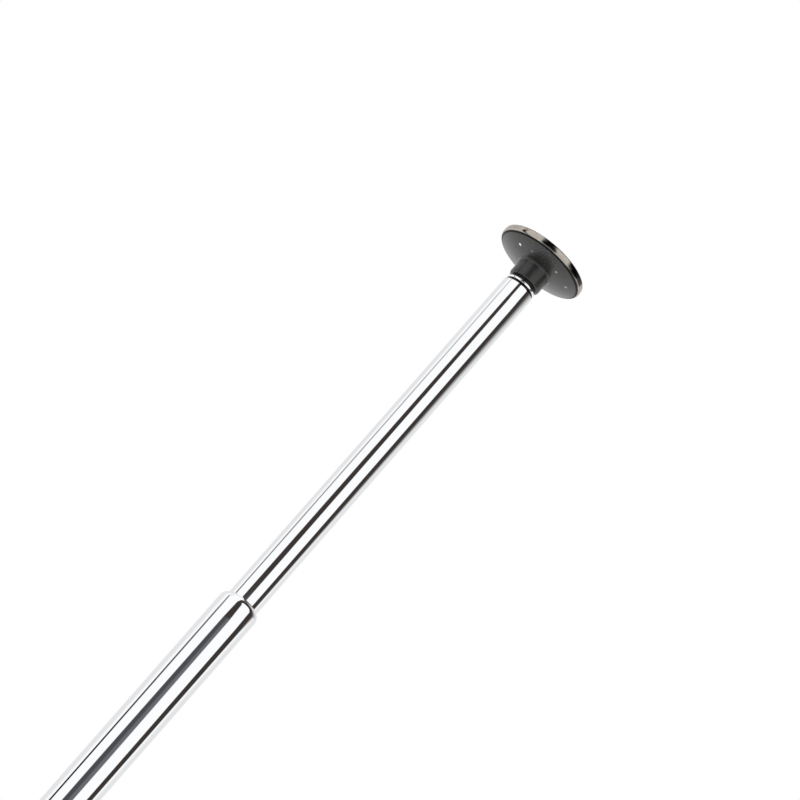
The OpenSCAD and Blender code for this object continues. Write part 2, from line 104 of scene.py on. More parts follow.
class AntennaSizes(bpy.types.PropertyGroup):
    """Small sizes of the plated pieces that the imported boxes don't give."""

    tube_wall: bpy.props.FloatProperty(
        name="Tube wall", description="Wall of every drawn tube",
        default=0.2 * MM, unit="LENGTH")
    lip_clearance: bpy.props.FloatProperty(
        name="Lip clearance", description="Radial gap between a rolled lip and the tube in it",
        default=0.05 * MM, unit="LENGTH")
    lip_roll: bpy.props.FloatProperty(
        name="Lip roll", description="Outer radius that a lip is rolled to",
        default=0.7 * MM, unit="LENGTH")
    end_bead: bpy.props.FloatProperty(
        name="End bead", description="Radius of the bead on the tip tube's end",
        default=0.15 * MM, unit="LENGTH")
    disc_thickness: bpy.props.FloatProperty(
        name="Disc thickness", description="Thickness of the cap's disc at its rim",
        default=0.65 * MM, unit="LENGTH")
    disc_edge: bpy.props.FloatProperty(
        name="Disc upper edge", description="Radius on the disc's upper edge",
        default=0.12 * MM, unit="LENGTH")
    disc_lower_edge: bpy.props.FloatProperty(
        name="Disc lower edge", description="Radius on the disc's lower edge",
        default=0.3 * MM, unit="LENGTH")
    disc_dome: bpy.props.FloatProperty(
        name="Disc dome", description="Radius of the disc's domed underside",
        default=10.0 * MM, unit="LENGTH")
    collar_diameter: bpy.props.FloatProperty(
        name="Collar diameter", description="Diameter of the collar under the disc",
        default=2.9 * MM, unit="LENGTH")
    collar_edge: bpy.props.FloatProperty(
        name="Collar edge", description="Radius on the collar's lower edge",
        default=0.25 * MM, unit="LENGTH")
    collar_fillet: bpy.props.FloatProperty(
        name="Collar fillet", description="Fillet between the collar and the underside",
        default=0.25 * MM, unit="LENGTH")
    neck_diameter: bpy.props.FloatProperty(
        name="Neck diameter", description="Diameter of the neck that the tip tube is rolled on to",
        default=2.1 * MM, unit="LENGTH")
    neck_length: bpy.props.FloatProperty(
        name="Neck length", description="Length of the neck between the tip tube and the collar",
        default=0.2 * MM, unit="LENGTH")


class AntennaColours(bpy.types.PropertyGroup):
    """Colours of the finishes."""

    chrome: bpy.props.FloatVectorProperty(
        name="Chrome", description="Chromium plate on the tubes",
        subtype="COLOR", default=(0.93, 0.935, 0.95))
    cap_face: bpy.props.FloatVectorProperty(
        name="Cap face", description="Satin black nickel on the cap",
        subtype="COLOR", default=(0.022, 0.022, 0.021))
    cap_rim: bpy.props.FloatVectorProperty(
        name="Cap rim", description="Turned rim of the cap, where the plate is thin",
        subtype="COLOR", default=(0.44, 0.4, 0.36))
    nickel: bpy.props.FloatVectorProperty(
        name="Nickel", description="Nickel plate on the plug",
        subtype="COLOR", default=(0.62, 0.6, 0.56))
    housing: bpy.props.FloatVectorProperty(
        name="Housing", description="Black moulding of the base",
        subtype="COLOR", default=(0.018, 0.018, 0.02))


class AntennaStudio(bpy.types.PropertyGroup):
    """Camera and light."""

    camera_distance: bpy.props.FloatProperty(
        name="Camera distance", description="From the camera to the point it looks at",
        default=0.6, unit="LENGTH")
    camera_elevation: bpy.props.FloatProperty(
        name="Camera elevation", description="Below zero, the camera looks up at the cap",
        default=math.radians(-20.5), subtype="ANGLE")
    whip_lean: bpy.props.FloatProperty(
        name="Whip lean", description="How far the whip leans to the right in the picture",
        default=math.radians(41.3), subtype="ANGLE")
    pixels_per_mm: bpy.props.FloatProperty(
        name="Pixels per millimetre", description="Scale of the picture at the aimed point",
        default=12.5)
    aim_below_end: bpy.props.FloatProperty(
        name="Aim below the tube's end", description="Height of the aimed point under the tip",
        default=14.32 * MM, unit="LENGTH")
    aim_aside: bpy.props.FloatProperty(
        name="Aim aside", description="Distance of the aimed point from the whip's axis",
        default=-1.25 * MM, unit="LENGTH")
    light: bpy.props.FloatProperty(
        name="Light", description="Strength of the surround in the polished pieces", default=1.0)
    ambient: bpy.props.FloatProperty(
        name="Ambient", description="Strength of the even light on matt surfaces", default=1.12)


def settings():
    """The three groups of values that the panel shows."""
    scene = bpy.context.scene
    return scene.antenna_sizes, scene.antenna_colours, scene.antenna_studio


def arc(centre, radius, start, end, steps=ARC_STEPS):
    """Points (radius, height) on a circle from angle start to end in degrees, 0 being outward."""
    turn = np.radians(np.linspace(start, end, steps + 1))
    return np.column_stack((centre[0] + radius * np.cos(turn), centre[1] + radius * np.sin(turn)))


def arc_angle(across, radius):
    """Angle in degrees at which a circle's point is this far across from its middle."""
    return math.degrees(math.acos(across / radius))


def crossing(first, first_radius, second, second_radius):
    """The crossing of two circles that lies to the right of the way from the first to the second.

    With d apart: a = (r1^2 - r2^2 + d^2) / 2d along that way and sqrt(r1^2 - a^2) beside it.
    """
    way = np.subtract(second, first)
    apart = np.hypot(*way)
    way /= apart
    along = (first_radius ** 2 - second_radius ** 2 + apart ** 2) / (2 * apart)
    beside = math.sqrt(first_radius ** 2 - along ** 2)
    return np.add(first, way * along + np.array((way[1], -way[0])) * beside)


def heading(centre, point):
    """Direction from centre to point in degrees, 0 being outward."""
    return math.degrees(math.atan2(point[1] - centre[1], point[0] - centre[0]))


def lathe(name, profile, segments=SEGMENTS):
    """A closed profile turned about Z: x = r cos a, y = r sin a, z = h, for each point (r, h).

    The profile runs anticlockwise in the (r, h) plane, so faces point outward, and a point at
    r = 0 becomes a single pole.
    """
    profile = np.asarray(profile, float)
    on_axis = profile[:, 0] < ON_AXIS
    turn = np.arange(segments) * 2 * math.pi / segments
    rings = np.stack((profile[:, :1] * np.cos(turn), profile[:, :1] * np.sin(turn),
                      np.repeat(profile[:, 1:], segments, axis=1)), axis=2)
    index = np.arange(profile.shape[0] * segments).reshape(-1, segments)
    index[on_axis] = index[on_axis][:, :1]
    this, above = index, np.roll(index, -1, axis=0)
    faces = np.stack((this, np.roll(this, -1, axis=1), np.roll(above, -1, axis=1), above), axis=2)
    both_poles = on_axis & np.roll(on_axis, -1)
    faces = faces[~both_poles].reshape(-1, 4)
    return solid(name, rings.reshape(-1, 3), faces)


def solid(name, points, faces):
    """A mesh object from arrays of points and four-cornered faces, without unused points."""
    mesh = bpy.data.meshes.new(name)
    mesh.from_pydata(points.tolist(), [], [[c for n, c in enumerate(face) if c != face[n - 1]]
                                           for face in faces.tolist()])
    shape = bmesh.new()
    shape.from_mesh(mesh)
    loose = [v for v in shape.verts if not v.link_faces]
    bmesh.ops.delete(shape, geom=loose, context="VERTS")
    shape.to_mesh(mesh)
    shape.free()
    return smoothed(name, mesh)


def smoothed(name, mesh, sharp_angle=35.0):
    """An object that shades smooth but for edges sharper than the angle, linked to the scene."""
    mesh.shade_smooth()
    mesh.set_sharp_from_angle(angle=math.radians(sharp_angle))
    piece = bpy.data.objects.new(name, mesh)
    bpy.context.scene.collection.objects.link(piece)
    return piece


def merged_copy(node, name, sharp_angle=35.0):
    """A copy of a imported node's mesh with its loose triangles joined, to shade smooth."""
    mesh = frame["nodes"][node].data.copy()
    mesh.name = name
    shape = bmesh.new()
    shape.from_mesh(mesh)
    bmesh.ops.remove_doubles(shape, verts=shape.verts, dist=MERGED_WITHIN)
    shape.to_mesh(mesh)
    shape.free()
    mesh.materials.clear()
    return smoothed(name, mesh, sharp_angle)


def fit(piece, body, slot, material, *nodes):
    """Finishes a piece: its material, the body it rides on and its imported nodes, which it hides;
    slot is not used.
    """
    piece.data.materials.append(material)
    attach(piece, body)
    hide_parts(*nodes)


class Shader:
    """Short calls for the nodes of one material, world or group."""

    def __init__(self, tree):
        self.tree = tree
        self.tree.nodes.clear()

    def add(self, kind, **values):
        """A node, with its fields set from values."""
        node = self.tree.nodes.new(kind)
        for field, value in values.items():
            setattr(node, field, value)
        return node

    def put(self, socket, value):
        """Links value to a socket if it is a socket itself, and otherwise sets it there."""
        if isinstance(value, bpy.types.NodeSocket):
            self.tree.links.new(value, socket)
        elif value is not None:
            socket.default_value = value

    def math(self, operation, a, b=None, c=None):
        """One sum, product or other operation on numbers."""
        node = self.add("ShaderNodeMath", operation=operation)
        for socket, value in zip(node.inputs, (a, b, c)):
            self.put(socket, value)
        return node.outputs[0]

    def smooth_step(self, value, low, high, start=0.0, end=1.0):
        """start below low, end above high, and a soft curve between."""
        node = self.add("ShaderNodeMapRange", interpolation_type="SMOOTHSTEP")
        for socket, part in zip(node.inputs, (value, low, high, start, end)):
            self.put(socket, part)
        return node.outputs[0]

    def falling(self, value, low, high):
        """1 below low, 0 above high, and a soft curve between."""
        return self.smooth_step(value, low, high, 1.0, 0.0)

    def between(self, value, rise, fall):
        """1 between two soft edges, each given by where it begins and ends."""
        return self.product(self.smooth_step(value, *rise), self.falling(value, *fall))

    def product(self, first, *others):
        """All the values multiplied together."""
        for value in others:
            first = self.math("MULTIPLY", first, value)
        return first

    def blend(self, share, a, b):
        """Number a turning to b by share."""
        node = self.add("ShaderNodeMix", data_type="FLOAT")
        self.put(node.inputs[0], share)
        self.put(node.inputs[2], a)
        self.put(node.inputs[3], b)
        return node.outputs[0]

    def mix(self, share, a, b):
        """Colour a turning to b by share."""
        node = self.add("ShaderNodeMix", data_type="RGBA")
        self.put(node.inputs["Factor"], share)
        self.put(node.inputs[6], a)
        self.put(node.inputs[7], b)
        return node.outputs[2]

    def noise(self, vector, scale, detail=2.0, roughness=0.5):
        """Fractal noise from 0 to 1."""
        node = self.add("ShaderNodeTexNoise")
        self.put(node.inputs["Vector"], vector)
        node.inputs["Scale"].default_value = scale
        node.inputs["Detail"].default_value = detail
        node.inputs["Roughness"].default_value = roughness
        return node.outputs[0]

    def object_point(self):
        """The point on the piece, in its own metres."""
        return self.add("ShaderNodeTexCoord").outputs["Object"]

    def stretched(self, vector, scale):
        """The vector multiplied by scale along each axis."""
        node = self.add("ShaderNodeVectorMath", operation="MULTIPLY")
        self.put(node.inputs[0], vector)
        node.inputs[1].default_value = scale
        return node.outputs[0]

    def radius(self, vector):
        """Distance from the whip's axis."""
        flat = self.stretched(vector, (1, 1, 0))
        node = self.add("ShaderNodeVectorMath", operation="LENGTH")
        self.put(node.inputs[0], flat)
        return node.outputs["Value"]

    def parts(self, vector):
        """The three parts of a vector, by the names of their axes."""
        node = self.add("ShaderNodeSeparateXYZ")
        self.put(node.inputs[0], vector)
        return node.outputs

    def height(self, vector):
        """Height up the whip."""
        return self.parts(vector)["Z"]

    def turn(self, vector):
        """Turn round the whip in degrees, 0 being toward the camera's side."""
        parts = self.parts(vector)
        back = [self.math("MULTIPLY", parts[axis], -1.0) for axis in "XY"]
        return self.math("DEGREES", self.math("ARCTAN2", *back))

    def bump(self, height, distance, strength=1.0):
        """A normal from a height of 0 to 1 that stands distance metres proud."""
        node = self.add("ShaderNodeBump")
        node.inputs["Strength"].default_value = strength
        node.inputs["Distance"].default_value = distance
        self.put(node.inputs["Height"], height)
        return node.outputs[0]

    def call(self, group, **values):
        """A shared group, with its inputs set by name."""
        node = self.add("ShaderNodeGroup", node_tree=group)
        for name, value in values.items():
            self.put(node.inputs[name.replace("_", " ")], value)
        return node.outputs


def new_group(name, inputs, outputs):
    """A shader group with named float inputs and their defaults, and named float outputs."""
    group = bpy.data.node_groups.new(name, "ShaderNodeTree")
    shader = Shader(group)
    for label, default in inputs.items():
        socket = group.interface.new_socket(label, in_out="INPUT", socket_type="NodeSocketFloat")
        socket.default_value = default
    for label in outputs:
        group.interface.new_socket(label, in_out="OUTPUT", socket_type="NodeSocketFloat")
    source = shader.add("NodeGroupInput")
    sink = shader.add("NodeGroupOutput")
    return group, shader, source.outputs, sink.inputs


def turned_marks():
    """Fine rings left by the lathe: noise over radius and height alone, so it runs round."""
    name = "turned_marks"
    if name in bpy.data.node_groups:
        return bpy.data.node_groups[name]
    group, shader, given, out = new_group(name, {"Pitch per mm": 14.0}, ("Rings",))
    point = shader.object_point()
    along = shader.add("ShaderNodeCombineXYZ")
    shader.put(along.inputs[0], shader.radius(point))
    shader.put(along.inputs[1], shader.height(point))
    scaled = shader.add("ShaderNodeVectorMath", operation="SCALE")
    shader.put(scaled.inputs[0], along.outputs[0])
    shader.put(scaled.inputs["Scale"], shader.math("MULTIPLY", given[0], 1 / MM))
    shader.put(out[0], shader.noise(scaled.outputs[0], 1.0, 3.0, 0.6))
    return group


def handled_film():
    """Soft smears and finer streaks, from 0 on clean plate to 1 under the film."""
    name = "handled_film"
    if name in bpy.data.node_groups:
        return bpy.data.node_groups[name]
    group, shader, given, out = new_group(name, {"Amount": 0.5}, ("Film",))
    point = shader.object_point()
    smears = shader.noise(shader.stretched(point, (1, 1, 0.35)), 260.0, 4.0, 0.55)
    streaks = shader.noise(shader.stretched(point, (1, 1, 0.04)), 2600.0, 2.0, 0.5)
    both = shader.math("MULTIPLY_ADD", streaks, 0.35, smears)
    shader.put(out[0], shader.math("MULTIPLY", shader.smooth_step(both, 0.55, 1.0), given[0]))
    return group


def pits_and_specks():
    """Single small spots scattered over the surface: 1 at a spot's middle and 0 away from it."""
    name = "pits_and_specks"
    if name in bpy.data.node_groups:
        return bpy.data.node_groups[name]
    group, shader, given, out = new_group(name, {"Per mm": 1.2, "Size": 0.1}, ("Spots", "Kind"))
    point = shader.object_point()
    scaled = shader.add("ShaderNodeVectorMath", operation="SCALE")
    shader.put(scaled.inputs[0], point)
    shader.put(scaled.inputs["Scale"], shader.math("MULTIPLY", given[0], 1 / MM))
    cells = shader.add("ShaderNodeTexVoronoi", feature="F1")
    cells.inputs["Scale"].default_value = 1.0
    shader.put(cells.inputs["Vector"], scaled.outputs[0])
    near = shader.falling(cells.outputs["Distance"], 0.0, given[1])
    colour = shader.add("ShaderNodeSeparateColor")
    shader.put(colour.inputs[0], cells.outputs["Color"])
    few = shader.math("GREATER_THAN", colour.outputs[0], 0.55)
    shader.put(out[0], shader.math("MULTIPLY", near, few))
    shader.put(out[1], colour.outputs[1])
    return group


def new_material(name, colour, metallic, roughness):
    """A material with one Principled shader; returns it, its shader and its node maker."""
    if name in bpy.data.materials:
        return bpy.data.materials[name], None, None
    material = bpy.data.materials.new(name)
    material.use_nodes = True
    shader = Shader(material.node_tree)
    surface = shader.add("ShaderNodeBsdfPrincipled")
    shader.put(surface.inputs["Base Color"], colour)
    shader.put(surface.inputs["Roughness"], roughness)
    surface.inputs["Metallic"].default_value = metallic
    shader.output = shader.add("ShaderNodeOutputMaterial")
    shader.put(shader.output.inputs[0], surface.outputs[0])
    return material, surface, shader


def rgba(colour):
    """A colour with full alpha."""
    return (colour[0], colour[1], colour[2], 1.0)


def shade(colour, factor):
    """A colour made lighter or darker."""
    return tuple(min(1.0, channel * factor) for channel in colour[:3])


# Painted shade on the tip tube's end, in mm above the seam under its bead: where the dark band
# over the seam comes in and goes out, where the one on the bead's top under the collar comes in,
# and the painted shade's colour
SEAM_SHADE_IN = (-0.26, -0.2)
SEAM_SHADE_OUT = (0.02, 0.05)
BEAD_SHADE_IN = (0.19, 0.24)
PAINTED_SHADE_DARK = (0.035, 0.032, 0.035)


def chrome_plate():
    """Bright plate on drawn tube: nearly a mirror, slightly wavy, with a thin film of handling.

    Painted shade darkens the seam between the tip tube's roll and its end bead, and the bead's top
    under the collar.
    """
    material, surface, shader = new_material("chrome_plate", None, 1.0, 0.03)
    if shader:
        sizes, colours, _ = settings()
        point = shader.object_point()
        film = shader.call(handled_film(), Amount=1.0)["Film"]
        plate = shader.mix(film, rgba(colours.chrome), rgba(shade(colours.chrome, 0.97)))
        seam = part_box("tip_tube")[1].z - 2 * sizes.end_bead
        height = shader.height(point)
        come_in, go_out, on_bead = ([seam + edge * MM for edge in edges] for edges in (
            SEAM_SHADE_IN, SEAM_SHADE_OUT, BEAD_SHADE_IN))
        # Painted shade: dark bands over the seam under the bead and on the bead's top
        painted_shade = shader.math("MAXIMUM", shader.between(height, come_in, go_out),
                           shader.smooth_step(height, *on_bead))
        shader.put(surface.inputs["Base Color"], shader.mix(painted_shade, plate, rgba(PAINTED_SHADE_DARK)))
        shader.put(surface.inputs["Roughness"], shader.math("MULTIPLY_ADD", film, 0.03, 0.025))
        waves = shader.noise(shader.stretched(point, (1, 1, 0.03)), 330.0, 1.0)
        drawn = shader.noise(shader.stretched(point, (1, 1, 0.01)), 9000.0)
        relief = shader.math("MULTIPLY_ADD", drawn, 0.02, waves)
        shader.put(surface.inputs["Normal"], shader.bump(relief, 0.0000025))
    return material


# Specks and one painted glint on the cap's underside: place across and away from the camera,
# radius, and tone, in mm; the first, with tone 0.95, is the painted glint
CAP_SPECKS_AND_GLINT = ((-2.25, -1.55, 0.17, 0.95), (-2.33, -0.64, 0.17, 0.0), (-1.94, -0.64, 0.2, 0.02),
             (-1.16, -2.28, 0.14, 0.16), (1.4, -2.24, 0.16, 0.3), (2.79, -0.93, 0.18, 0.3))
# Turns in degrees between which the cap's rim is darkened where it mirrors the surround's dark
# strips, a painted reflection, and half the width of their ends
REFLECTION_DARK_TURNS = ((-64, -26), (-3, 16))
REFLECTION_DARK_SOFT = 3
# Painted shade: colour of the line in under the cap's rim
SHADE_LINE_BLACK = (0.004, 0.004, 0.005)
PIT_BLACK = (0.004, 0.004, 0.004)
SPECK_GREY = (0.12, 0.12, 0.12)


def rim_masks(shader, point, radius, height):
    """Where the cap's rim is worn bright, a black line of painted shade in under it, and the rim's
    lower edge, where a painted highlight goes.

    Edges are given in mm, in from the rim or down from the top.
    """
    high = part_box("tip_cap")[1]

    def inward(*edges):
        """Radii of edges this far in from the rim."""
        return [high.x - edge * MM for edge in edges]

    def down(*edges):
        """Heights of edges this far below the top."""
        return [high.z - edge * MM for edge in edges]

    uneven = shader.math("MULTIPLY", shader.noise(point, 700.0), 0.12 * MM)
    top = shader.math("ADD", height, uneven)
    worn = shader.product(shader.smooth_step(radius, *inward(0.12, 0.07)),
                          shader.falling(top, *down(0.03, -0.01)))
    # Painted shade: a black line on the underside just in from the rim
    shade_line = shader.product(shader.smooth_step(radius, *inward(0.3, 0.24)),
                                shader.falling(radius, *inward(0.12, 0.09)),
                                shader.falling(height, *down(0.2, 0.15)))
    # The rim's lower edge, where a painted highlight goes
    highlight_edge = shader.product(shader.smooth_step(radius, *inward(0.12, 0.06)),
                                shader.falling(height, *down(0.5, 0.44)))
    return worn, shade_line, highlight_edge


def rim_colour(shader, point, base, highlight_edge):
    """The worn rim's mottled metal, with dark patches of painted reflection where it mirrors the
    surround's dark strips, weaker on its lower edge as a painted highlight.
    """
    tone = shader.noise(shader.stretched(point, (1, 1, 2)), 1900.0, 4.0, 0.7)
    bright = shader.mix(tone, rgba(shade(base, 0.55)), rgba(shade(base, 1.4)))
    turn = shader.turn(point)
    # Painted reflection: dark patches at set turns, where the rim mirrors the surround's dark
    # strips
    painted_reflection = 0.0
    for low, high in REFLECTION_DARK_TURNS:
        patch = shader.between(turn, (low - REFLECTION_DARK_SOFT, low + REFLECTION_DARK_SOFT),
                               (high - REFLECTION_DARK_SOFT, high + REFLECTION_DARK_SOFT))
        painted_reflection = shader.math("ADD", patch, painted_reflection)
    # Painted highlight: the dark patches are halved on the rim's lower edge, so that edge stays
    # lighter
    painted_reflection = shader.product(painted_reflection, shader.math("MULTIPLY_ADD", highlight_edge, -0.5, 1.0))
    return shader.mix(painted_reflection, bright, rgba(shade(base, 0.1)))


def specks_and_glint(shader, point, plate, below):
    """The plate's colour with the single specks and the painted glint over it, where below is 1.
    """
    flat = shader.stretched(point, (1, 1, 0))
    for across, away, size, tone in CAP_SPECKS_AND_GLINT:
        apart = shader.add("ShaderNodeVectorMath", operation="DISTANCE")
        shader.put(apart.inputs[0], flat)
        apart.inputs[1].default_value = (across * MM, away * MM, 0)
        mark = shader.falling(apart.outputs["Value"], size * 0.3 * MM, size * MM)
        plate = shader.mix(shader.product(mark, below), plate, rgba((tone, tone, tone * 0.98)))
    return plate


def black_nickel():
    """Satin black plate on the cap: lathe rings, a rim worn bright, a few pits and specks, a
    painted glint on the underside, a painted shade line in under the rim, and painted reflections
    and a painted highlight on the rim.
    """
    material, surface, shader = new_material("black_nickel", None, 0.0, 0.3)
    if shader:
        sizes, colours, _ = settings()
        point = shader.object_point()
        radius, height = shader.radius(point), shader.height(point)
        worn, shade_line, highlight_edge = rim_masks(shader, point, radius, height)
        cloud = shader.noise(point, 900.0, 3.0)
        face = shader.mix(cloud, rgba(shade(colours.cap_face, 0.5)),
                          rgba(shade(colours.cap_face, 1.5)))
        plate = shader.mix(worn, face, rim_colour(shader, point, colours.cap_rim, highlight_edge))
        # Painted shade: the black line in under the rim, which also loses most of its gloss
        plate = shader.mix(shade_line, plate, rgba(SHADE_LINE_BLACK))
        top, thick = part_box("tip_cap")[1].z, sizes.disc_thickness
        below = shader.falling(height, top - thick, top - thick * 0.5)
        # Dark specks and one painted glint on the underside
        plate = specks_and_glint(shader, point, plate, below)
        spots = shader.call(pits_and_specks(), Per_mm=1.6, Size=0.09)
        spot_colour = shader.mix(shader.math("GREATER_THAN", spots["Kind"], 0.7),
                                 rgba(PIT_BLACK), rgba(SPECK_GREY))
        pitted = shader.product(spots["Spots"], shader.math("SUBTRACT", 1.0, worn))
        rings = shader.call(turned_marks())["Rings"]
        satin = shader.math("MULTIPLY_ADD", rings, 0.12, 0.2)
        relief = shader.math("MULTIPLY_ADD", pitted, -2.0, rings)
        for socket, value in (
                ("Base Color", shader.mix(pitted, plate, spot_colour)),
                ("Specular IOR Level", shader.math("MULTIPLY_ADD", shade_line, -0.42, 0.5)),
                ("Metallic", worn),
                ("Roughness", shader.math("MULTIPLY_ADD", worn, -0.14, satin)),
                ("Normal", shader.bump(relief, 0.0000006))):
            shader.put(surface.inputs[socket], value)
    return material


def plated(name, colour, roughness, ring_depth=0.0000008):
    """Turned and plated metal: rings from the lathe and a handled film."""
    material, surface, shader = new_material(name, None, 1.0, roughness)
    if shader:
        rings = shader.call(turned_marks(), Pitch_per_mm=9.0)["Rings"]
        film = shader.call(handled_film(), Amount=1.0)["Film"]
        shader.put(surface.inputs["Base Color"],
                   shader.mix(film, rgba(colour), rgba(shade(colour, 0.82))))
        shader.put(surface.inputs["Roughness"],
                   shader.math("MULTIPLY_ADD", film, 0.15, roughness))
        shader.put(surface.inputs["Normal"], shader.bump(rings, ring_depth))
    return material


def moulded(name, colour, roughness, grain=0.000004, grain_scale=4200.0):
    """Moulded plastic or rubber: a fine spark texture and soft changes of gloss."""
    material, surface, shader = new_material(name, None, 0.0, roughness)
    if shader:
        point = shader.object_point()
        texture = shader.noise(point, grain_scale, 2.0)
        cloud = shader.noise(point, 180.0, 3.0)
        shader.put(surface.inputs["Base Color"],
                   shader.mix(cloud, rgba(shade(colour, 0.88)), rgba(shade(colour, 1.12))))
        shader.put(surface.inputs["Roughness"],
                   shader.math("MULTIPLY_ADD", cloud, 0.12, roughness - 0.06))
        shader.put(surface.inputs["Normal"], shader.bump(texture, grain, 0.6))
    return material


FINISHES = {
    "chromed_tube": chrome_plate,
    "black_cap": black_nickel,
    "turned_brass": lambda: plated("turned_brass", (0.72, 0.5, 0.2), 0.22),
    "contact_bronze": lambda: plated("contact_bronze", (0.6, 0.32, 0.16), 0.28),
    "nickel_plate": lambda: plated("nickel_plate", settings()[1].nickel, 0.16),
    "gold_pin": lambda: plated("gold_pin", (0.85, 0.6, 0.22), 0.14),
    "spring_steel": lambda: plated("spring_steel", (0.35, 0.36, 0.38), 0.3),
    "black_moulding": lambda: moulded("black_moulding", settings()[1].housing, 0.42),
    "white_insulator": lambda: moulded("white_insulator", (0.82, 0.81, 0.76), 0.4, 0.000001),
    "gasket_rubber": lambda: moulded("gasket_rubber", (0.25, 0.03, 0.02), 0.55, 0.000002),
}


class ANTENNA_OT_stage(bpy.types.Operator):
    """Make the camera, the pale floor and the surround that lights the antenna"""

    bl_idname = "antenna.stage"
    bl_label = "Stage"

    def execute(self, context):
        studio = settings()[2]
        self.aim_camera(context.scene, studio)
        self.lay_floor()
        self.light_surround(context.scene, studio)
        context.scene.view_settings.view_transform = "Standard"
        return {"FINISHED"}

    def aim_camera(self, scene, studio):
        """Aims at a point beside the tip tube, from below, rolled so that the whip leans."""
        end_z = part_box("tip_tube")[1].z
        aim = Vector((studio.aim_aside, 0, end_z - studio.aim_below_end))
        elevation = studio.camera_elevation
        back = Vector((0, -math.cos(elevation), math.sin(elevation)))
        right = Vector((1, 0, 0))
        upright = back.cross(right)
        lean = studio.whip_lean
        across = math.cos(lean) * right + math.sin(lean) * upright
        up = math.cos(lean) * upright - math.sin(lean) * right
        data = bpy.data.cameras.new("camera")
        data.sensor_width = SENSOR_MM
        data.lens = (studio.pixels_per_mm / MM) * studio.camera_distance * SENSOR_MM / IMAGE_PX
        data.clip_start, data.clip_end = CLIP
        camera = bpy.data.objects.new("camera", data)
        turn = Matrix((across, up, back)).transposed().to_4x4()
        camera.matrix_world = Matrix.Translation(aim + back * studio.camera_distance) @ turn
        scene.collection.objects.link(camera)
        scene.camera = camera

    def lay_floor(self):
        """A pale floor at the height of the nut's face, where the plug stands.

        It can be seen through from below, and fades into the surround away from the plug.
        """
        floor_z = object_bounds()[0].z
        corners_xy = FLOOR_HALF * np.array([(-1.0, -1.0), (1.0, -1.0), (1.0, 1.0), (-1.0, 1.0)])
        floor = solid("floor", np.column_stack((corners_xy, np.full(4, floor_z))),
                      np.array([[0, 1, 2, 3]]))
        material, surface, shader = new_material("pale_floor", None, 0.0, 0.8)
        grain = shader.noise(shader.object_point(), 40.0)
        shader.put(surface.inputs["Base Color"],
                   shader.mix(grain, rgba((0.82, 0.82, 0.82)), rgba((0.84, 0.84, 0.84))))
        below = shader.add("ShaderNodeNewGeometry").outputs["Backfacing"]
        away = shader.smooth_step(shader.radius(shader.object_point()), *FLOOR_FADE)
        open_side = shader.add("ShaderNodeMixShader")
        shader.put(open_side.inputs[0], shader.math("MAXIMUM", below, away))
        shader.put(open_side.inputs[1], surface.outputs[0])
        shader.put(open_side.inputs[2], shader.add("ShaderNodeBsdfTransparent").outputs[0])
        shader.put(shader.output.inputs[0], open_side.outputs[0])
        floor.data.materials.append(material)
        floor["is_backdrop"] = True

    def light_surround(self, scene, studio):
        """A white surround with dark strips, as the polished tubes show them; white to the camera.

        Turn is measured round the whip from the camera's side, and rise above the horizon.
        """
        world = bpy.data.worlds.new("surround")
        world.use_nodes = True
        scene.world = world
        shader = Shader(world.node_tree)
        way = shader.add("ShaderNodeTexCoord").outputs["Generated"]
        turn = shader.turn(way)
        rise = shader.math("DEGREES", shader.math("ARCSINE", shader.height(way)))
        lift = shader.math("SUBTRACT", shader.math(
            "MINIMUM", shader.math("MAXIMUM", rise, SHOWN_RISES[0]), SHOWN_RISES[1]), EDGE_RISE)
        path = shader.add("ShaderNodeLightPath")
        mirrored = path.outputs["Is Glossy Ray"]
        seen = shader.mix(self.wide_strip(shader, turn, rise, lift), rgba(WHITE),
                          self.strip_colour(shader, turn, rise))
        light = shader.product(self.brightness(shader, turn, rise, lift), studio.light)
        plain = shader.blend(path.outputs["Is Camera Ray"], studio.ambient, 1.0)
        background = shader.add("ShaderNodeBackground")
        shader.put(background.inputs["Color"], shader.mix(mirrored, rgba(WHITE), seen))
        shader.put(background.inputs["Strength"], shader.blend(mirrored, plain, light))
        shader.put(shader.add("ShaderNodeOutputWorld").inputs[0], background.outputs[0])

    def window(self, shader, turn, rise, turns, rises, corner, soft):
        """1 inside a rounded rectangle of turn and rise, and 0 outside."""
        beyond = []
        for value, (low, high) in ((turn, turns), (rise, rises)):
            middle = shader.math("MULTIPLY", shader.math("ADD", low, high), 0.5)
            half = shader.math("MULTIPLY", shader.math("SUBTRACT", high, low), 0.5)
            off = shader.math("ABSOLUTE", shader.math("SUBTRACT", value, middle))
            beyond.append(shader.math("ADD", shader.math("SUBTRACT", off, half), corner))
        squares = [shader.product(wide, wide) for wide in (
            shader.math("MAXIMUM", b, 0.0) for b in beyond)]
        apart = shader.math("SQRT", shader.math("ADD", *squares))
        inside = shader.math("MINIMUM", shader.math("MAXIMUM", *beyond), 0.0)
        edge = shader.math("ADD", apart, inside)
        return shader.falling(edge, corner - soft, corner + soft)

    def slanted(self, shader, lift, middle, slope):
        """A turn that shifts by slope for each degree of rise, over the rises that tubes show."""
        return shader.math("MULTIPLY_ADD", lift, slope, middle)

